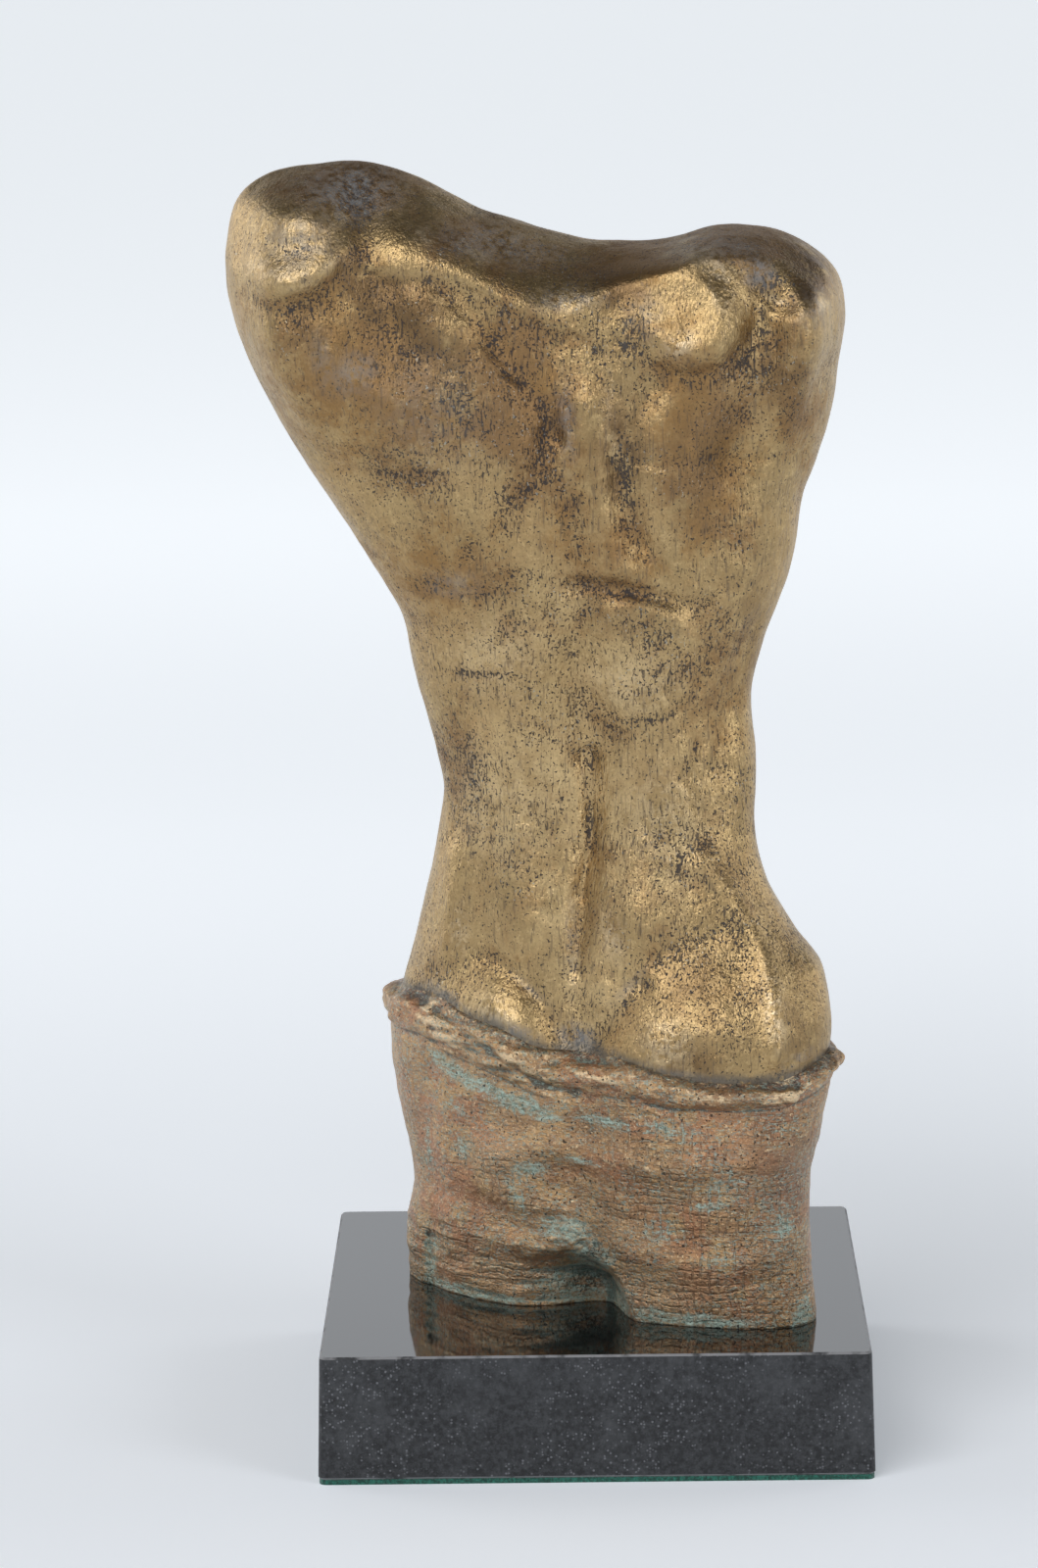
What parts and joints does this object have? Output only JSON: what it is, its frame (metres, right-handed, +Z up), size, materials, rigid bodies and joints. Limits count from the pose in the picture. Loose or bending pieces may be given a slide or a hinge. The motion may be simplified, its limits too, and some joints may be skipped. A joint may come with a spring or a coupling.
{
  "type": "bronze torso sculpture",
  "caption": "Small cast bronze torso without head or arms, one shoulder raised, a rolled cloth round the hips, standing on a square black stone plinth with a green felt pad.",
  "frame": {"origin": "centre of the felt pad's underside, on the surface the piece stands on", "axes": "+Z up; -Y is the side the figure's back faces, which the picture shows; +X is to that viewer's right, where the lower shoulder is"},
  "size_m": [0.1505, 0.13, 0.3066],
  "materials": {
    "felt": "deep green felt, slightly fuzzy",
    "stone": "black granite, polished top and sawn speckled sides",
    "bronze": "rubbed golden-brown bronze with dark pits, the cloth reddish brown with blue-green verdigris"
  },
  "bodies": {
    "root": {"felt_pad": "felt", "plinth": "stone", "bronze_torso": "bronze"}
  },
  "joints": []
}
